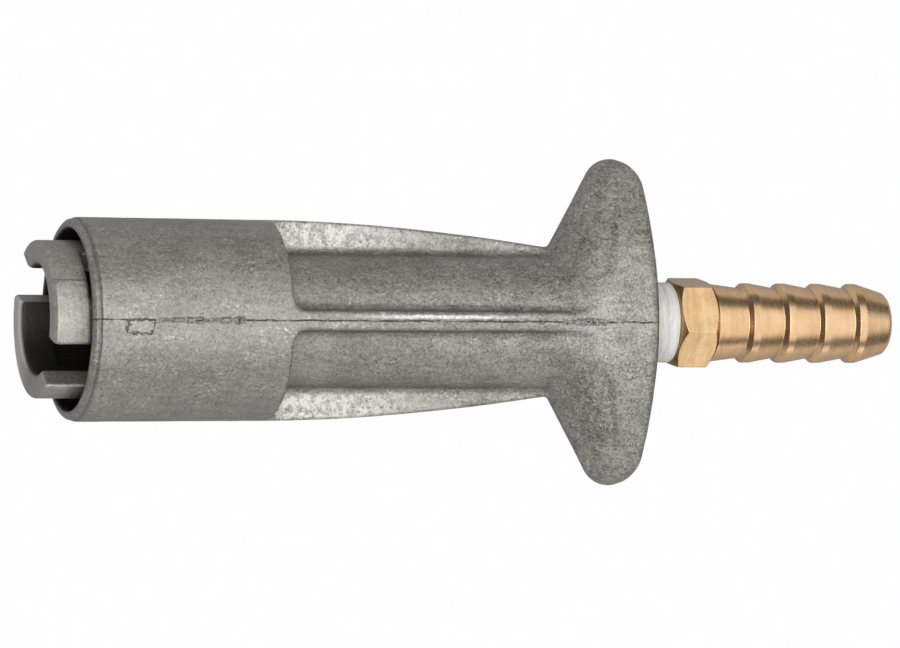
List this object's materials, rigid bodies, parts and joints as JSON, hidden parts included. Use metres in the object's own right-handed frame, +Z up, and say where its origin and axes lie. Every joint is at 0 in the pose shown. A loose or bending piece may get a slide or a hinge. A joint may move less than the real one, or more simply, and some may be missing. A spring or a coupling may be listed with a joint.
{
  "type": "fuel_line_connector",
  "caption": "Hand-held outboard fuel-line connector: die-cast ribbed handle with grip wings, push-and-twist bayonet socket with sprung seal and check valve, and a screwed-in hose barb.",
  "frame": {"origin": "middle of the object's box, on the fuel axis, halfway from the socket mouth to the hose end", "axes": "+X along the fuel path from the socket to the hose, +Y along a grip wing, +Z up through the casting's parting line"},
  "size_m": [0.12, 0.0442, 0.027],
  "materials": {
    "cast_body": "as-cast, mottled",
    "cast_collar": "as-cast, tumbled",
    "spring_steel": "bright drawn",
    "turned_brass": "turned",
    "fitting_brass": "turned, reddish",
    "seal_rubber": "matt",
    "sealing_tape": "wound PTFE film"
  },
  "bodies": {
    "casting": {"body_casting": "cast_body", "bayonet_collar": "cast_collar", "collar_retaining_ring": "spring_steel", "collar_dowel_upper": "spring_steel", "collar_dowel_lower": "spring_steel", "plunger_spring": "spring_steel", "hose_barb_fitting": "fitting_brass", "thread_tape": "sealing_tape"},
    "plunger": {"seal_plunger": "turned_brass", "face_seal": "seal_rubber", "plunger_o_ring": "seal_rubber", "valve_spring": "spring_steel", "valve_spring_retainer": "turned_brass", "retainer_clip": "spring_steel"},
    "poppet": {"valve_poppet": "turned_brass", "poppet_o_ring": "seal_rubber"}
  },
  "joints": [
    {"name": "plunger_slide", "type": "slide", "parent": "casting", "child": "plunger", "axis": [1, 0, 0], "range_m": [0, 0.004], "stiffness_N_per_m": 2500, "springref_m": -0.008, "deforming": ["plunger_spring"]},
    {"name": "poppet_slide", "type": "slide", "parent": "plunger", "child": "poppet", "axis": [1, 0, 0], "range_m": [0, 0.0025], "stiffness_N_per_m": 600, "springref_m": -0.004, "deforming": ["valve_spring"]}
  ]
}
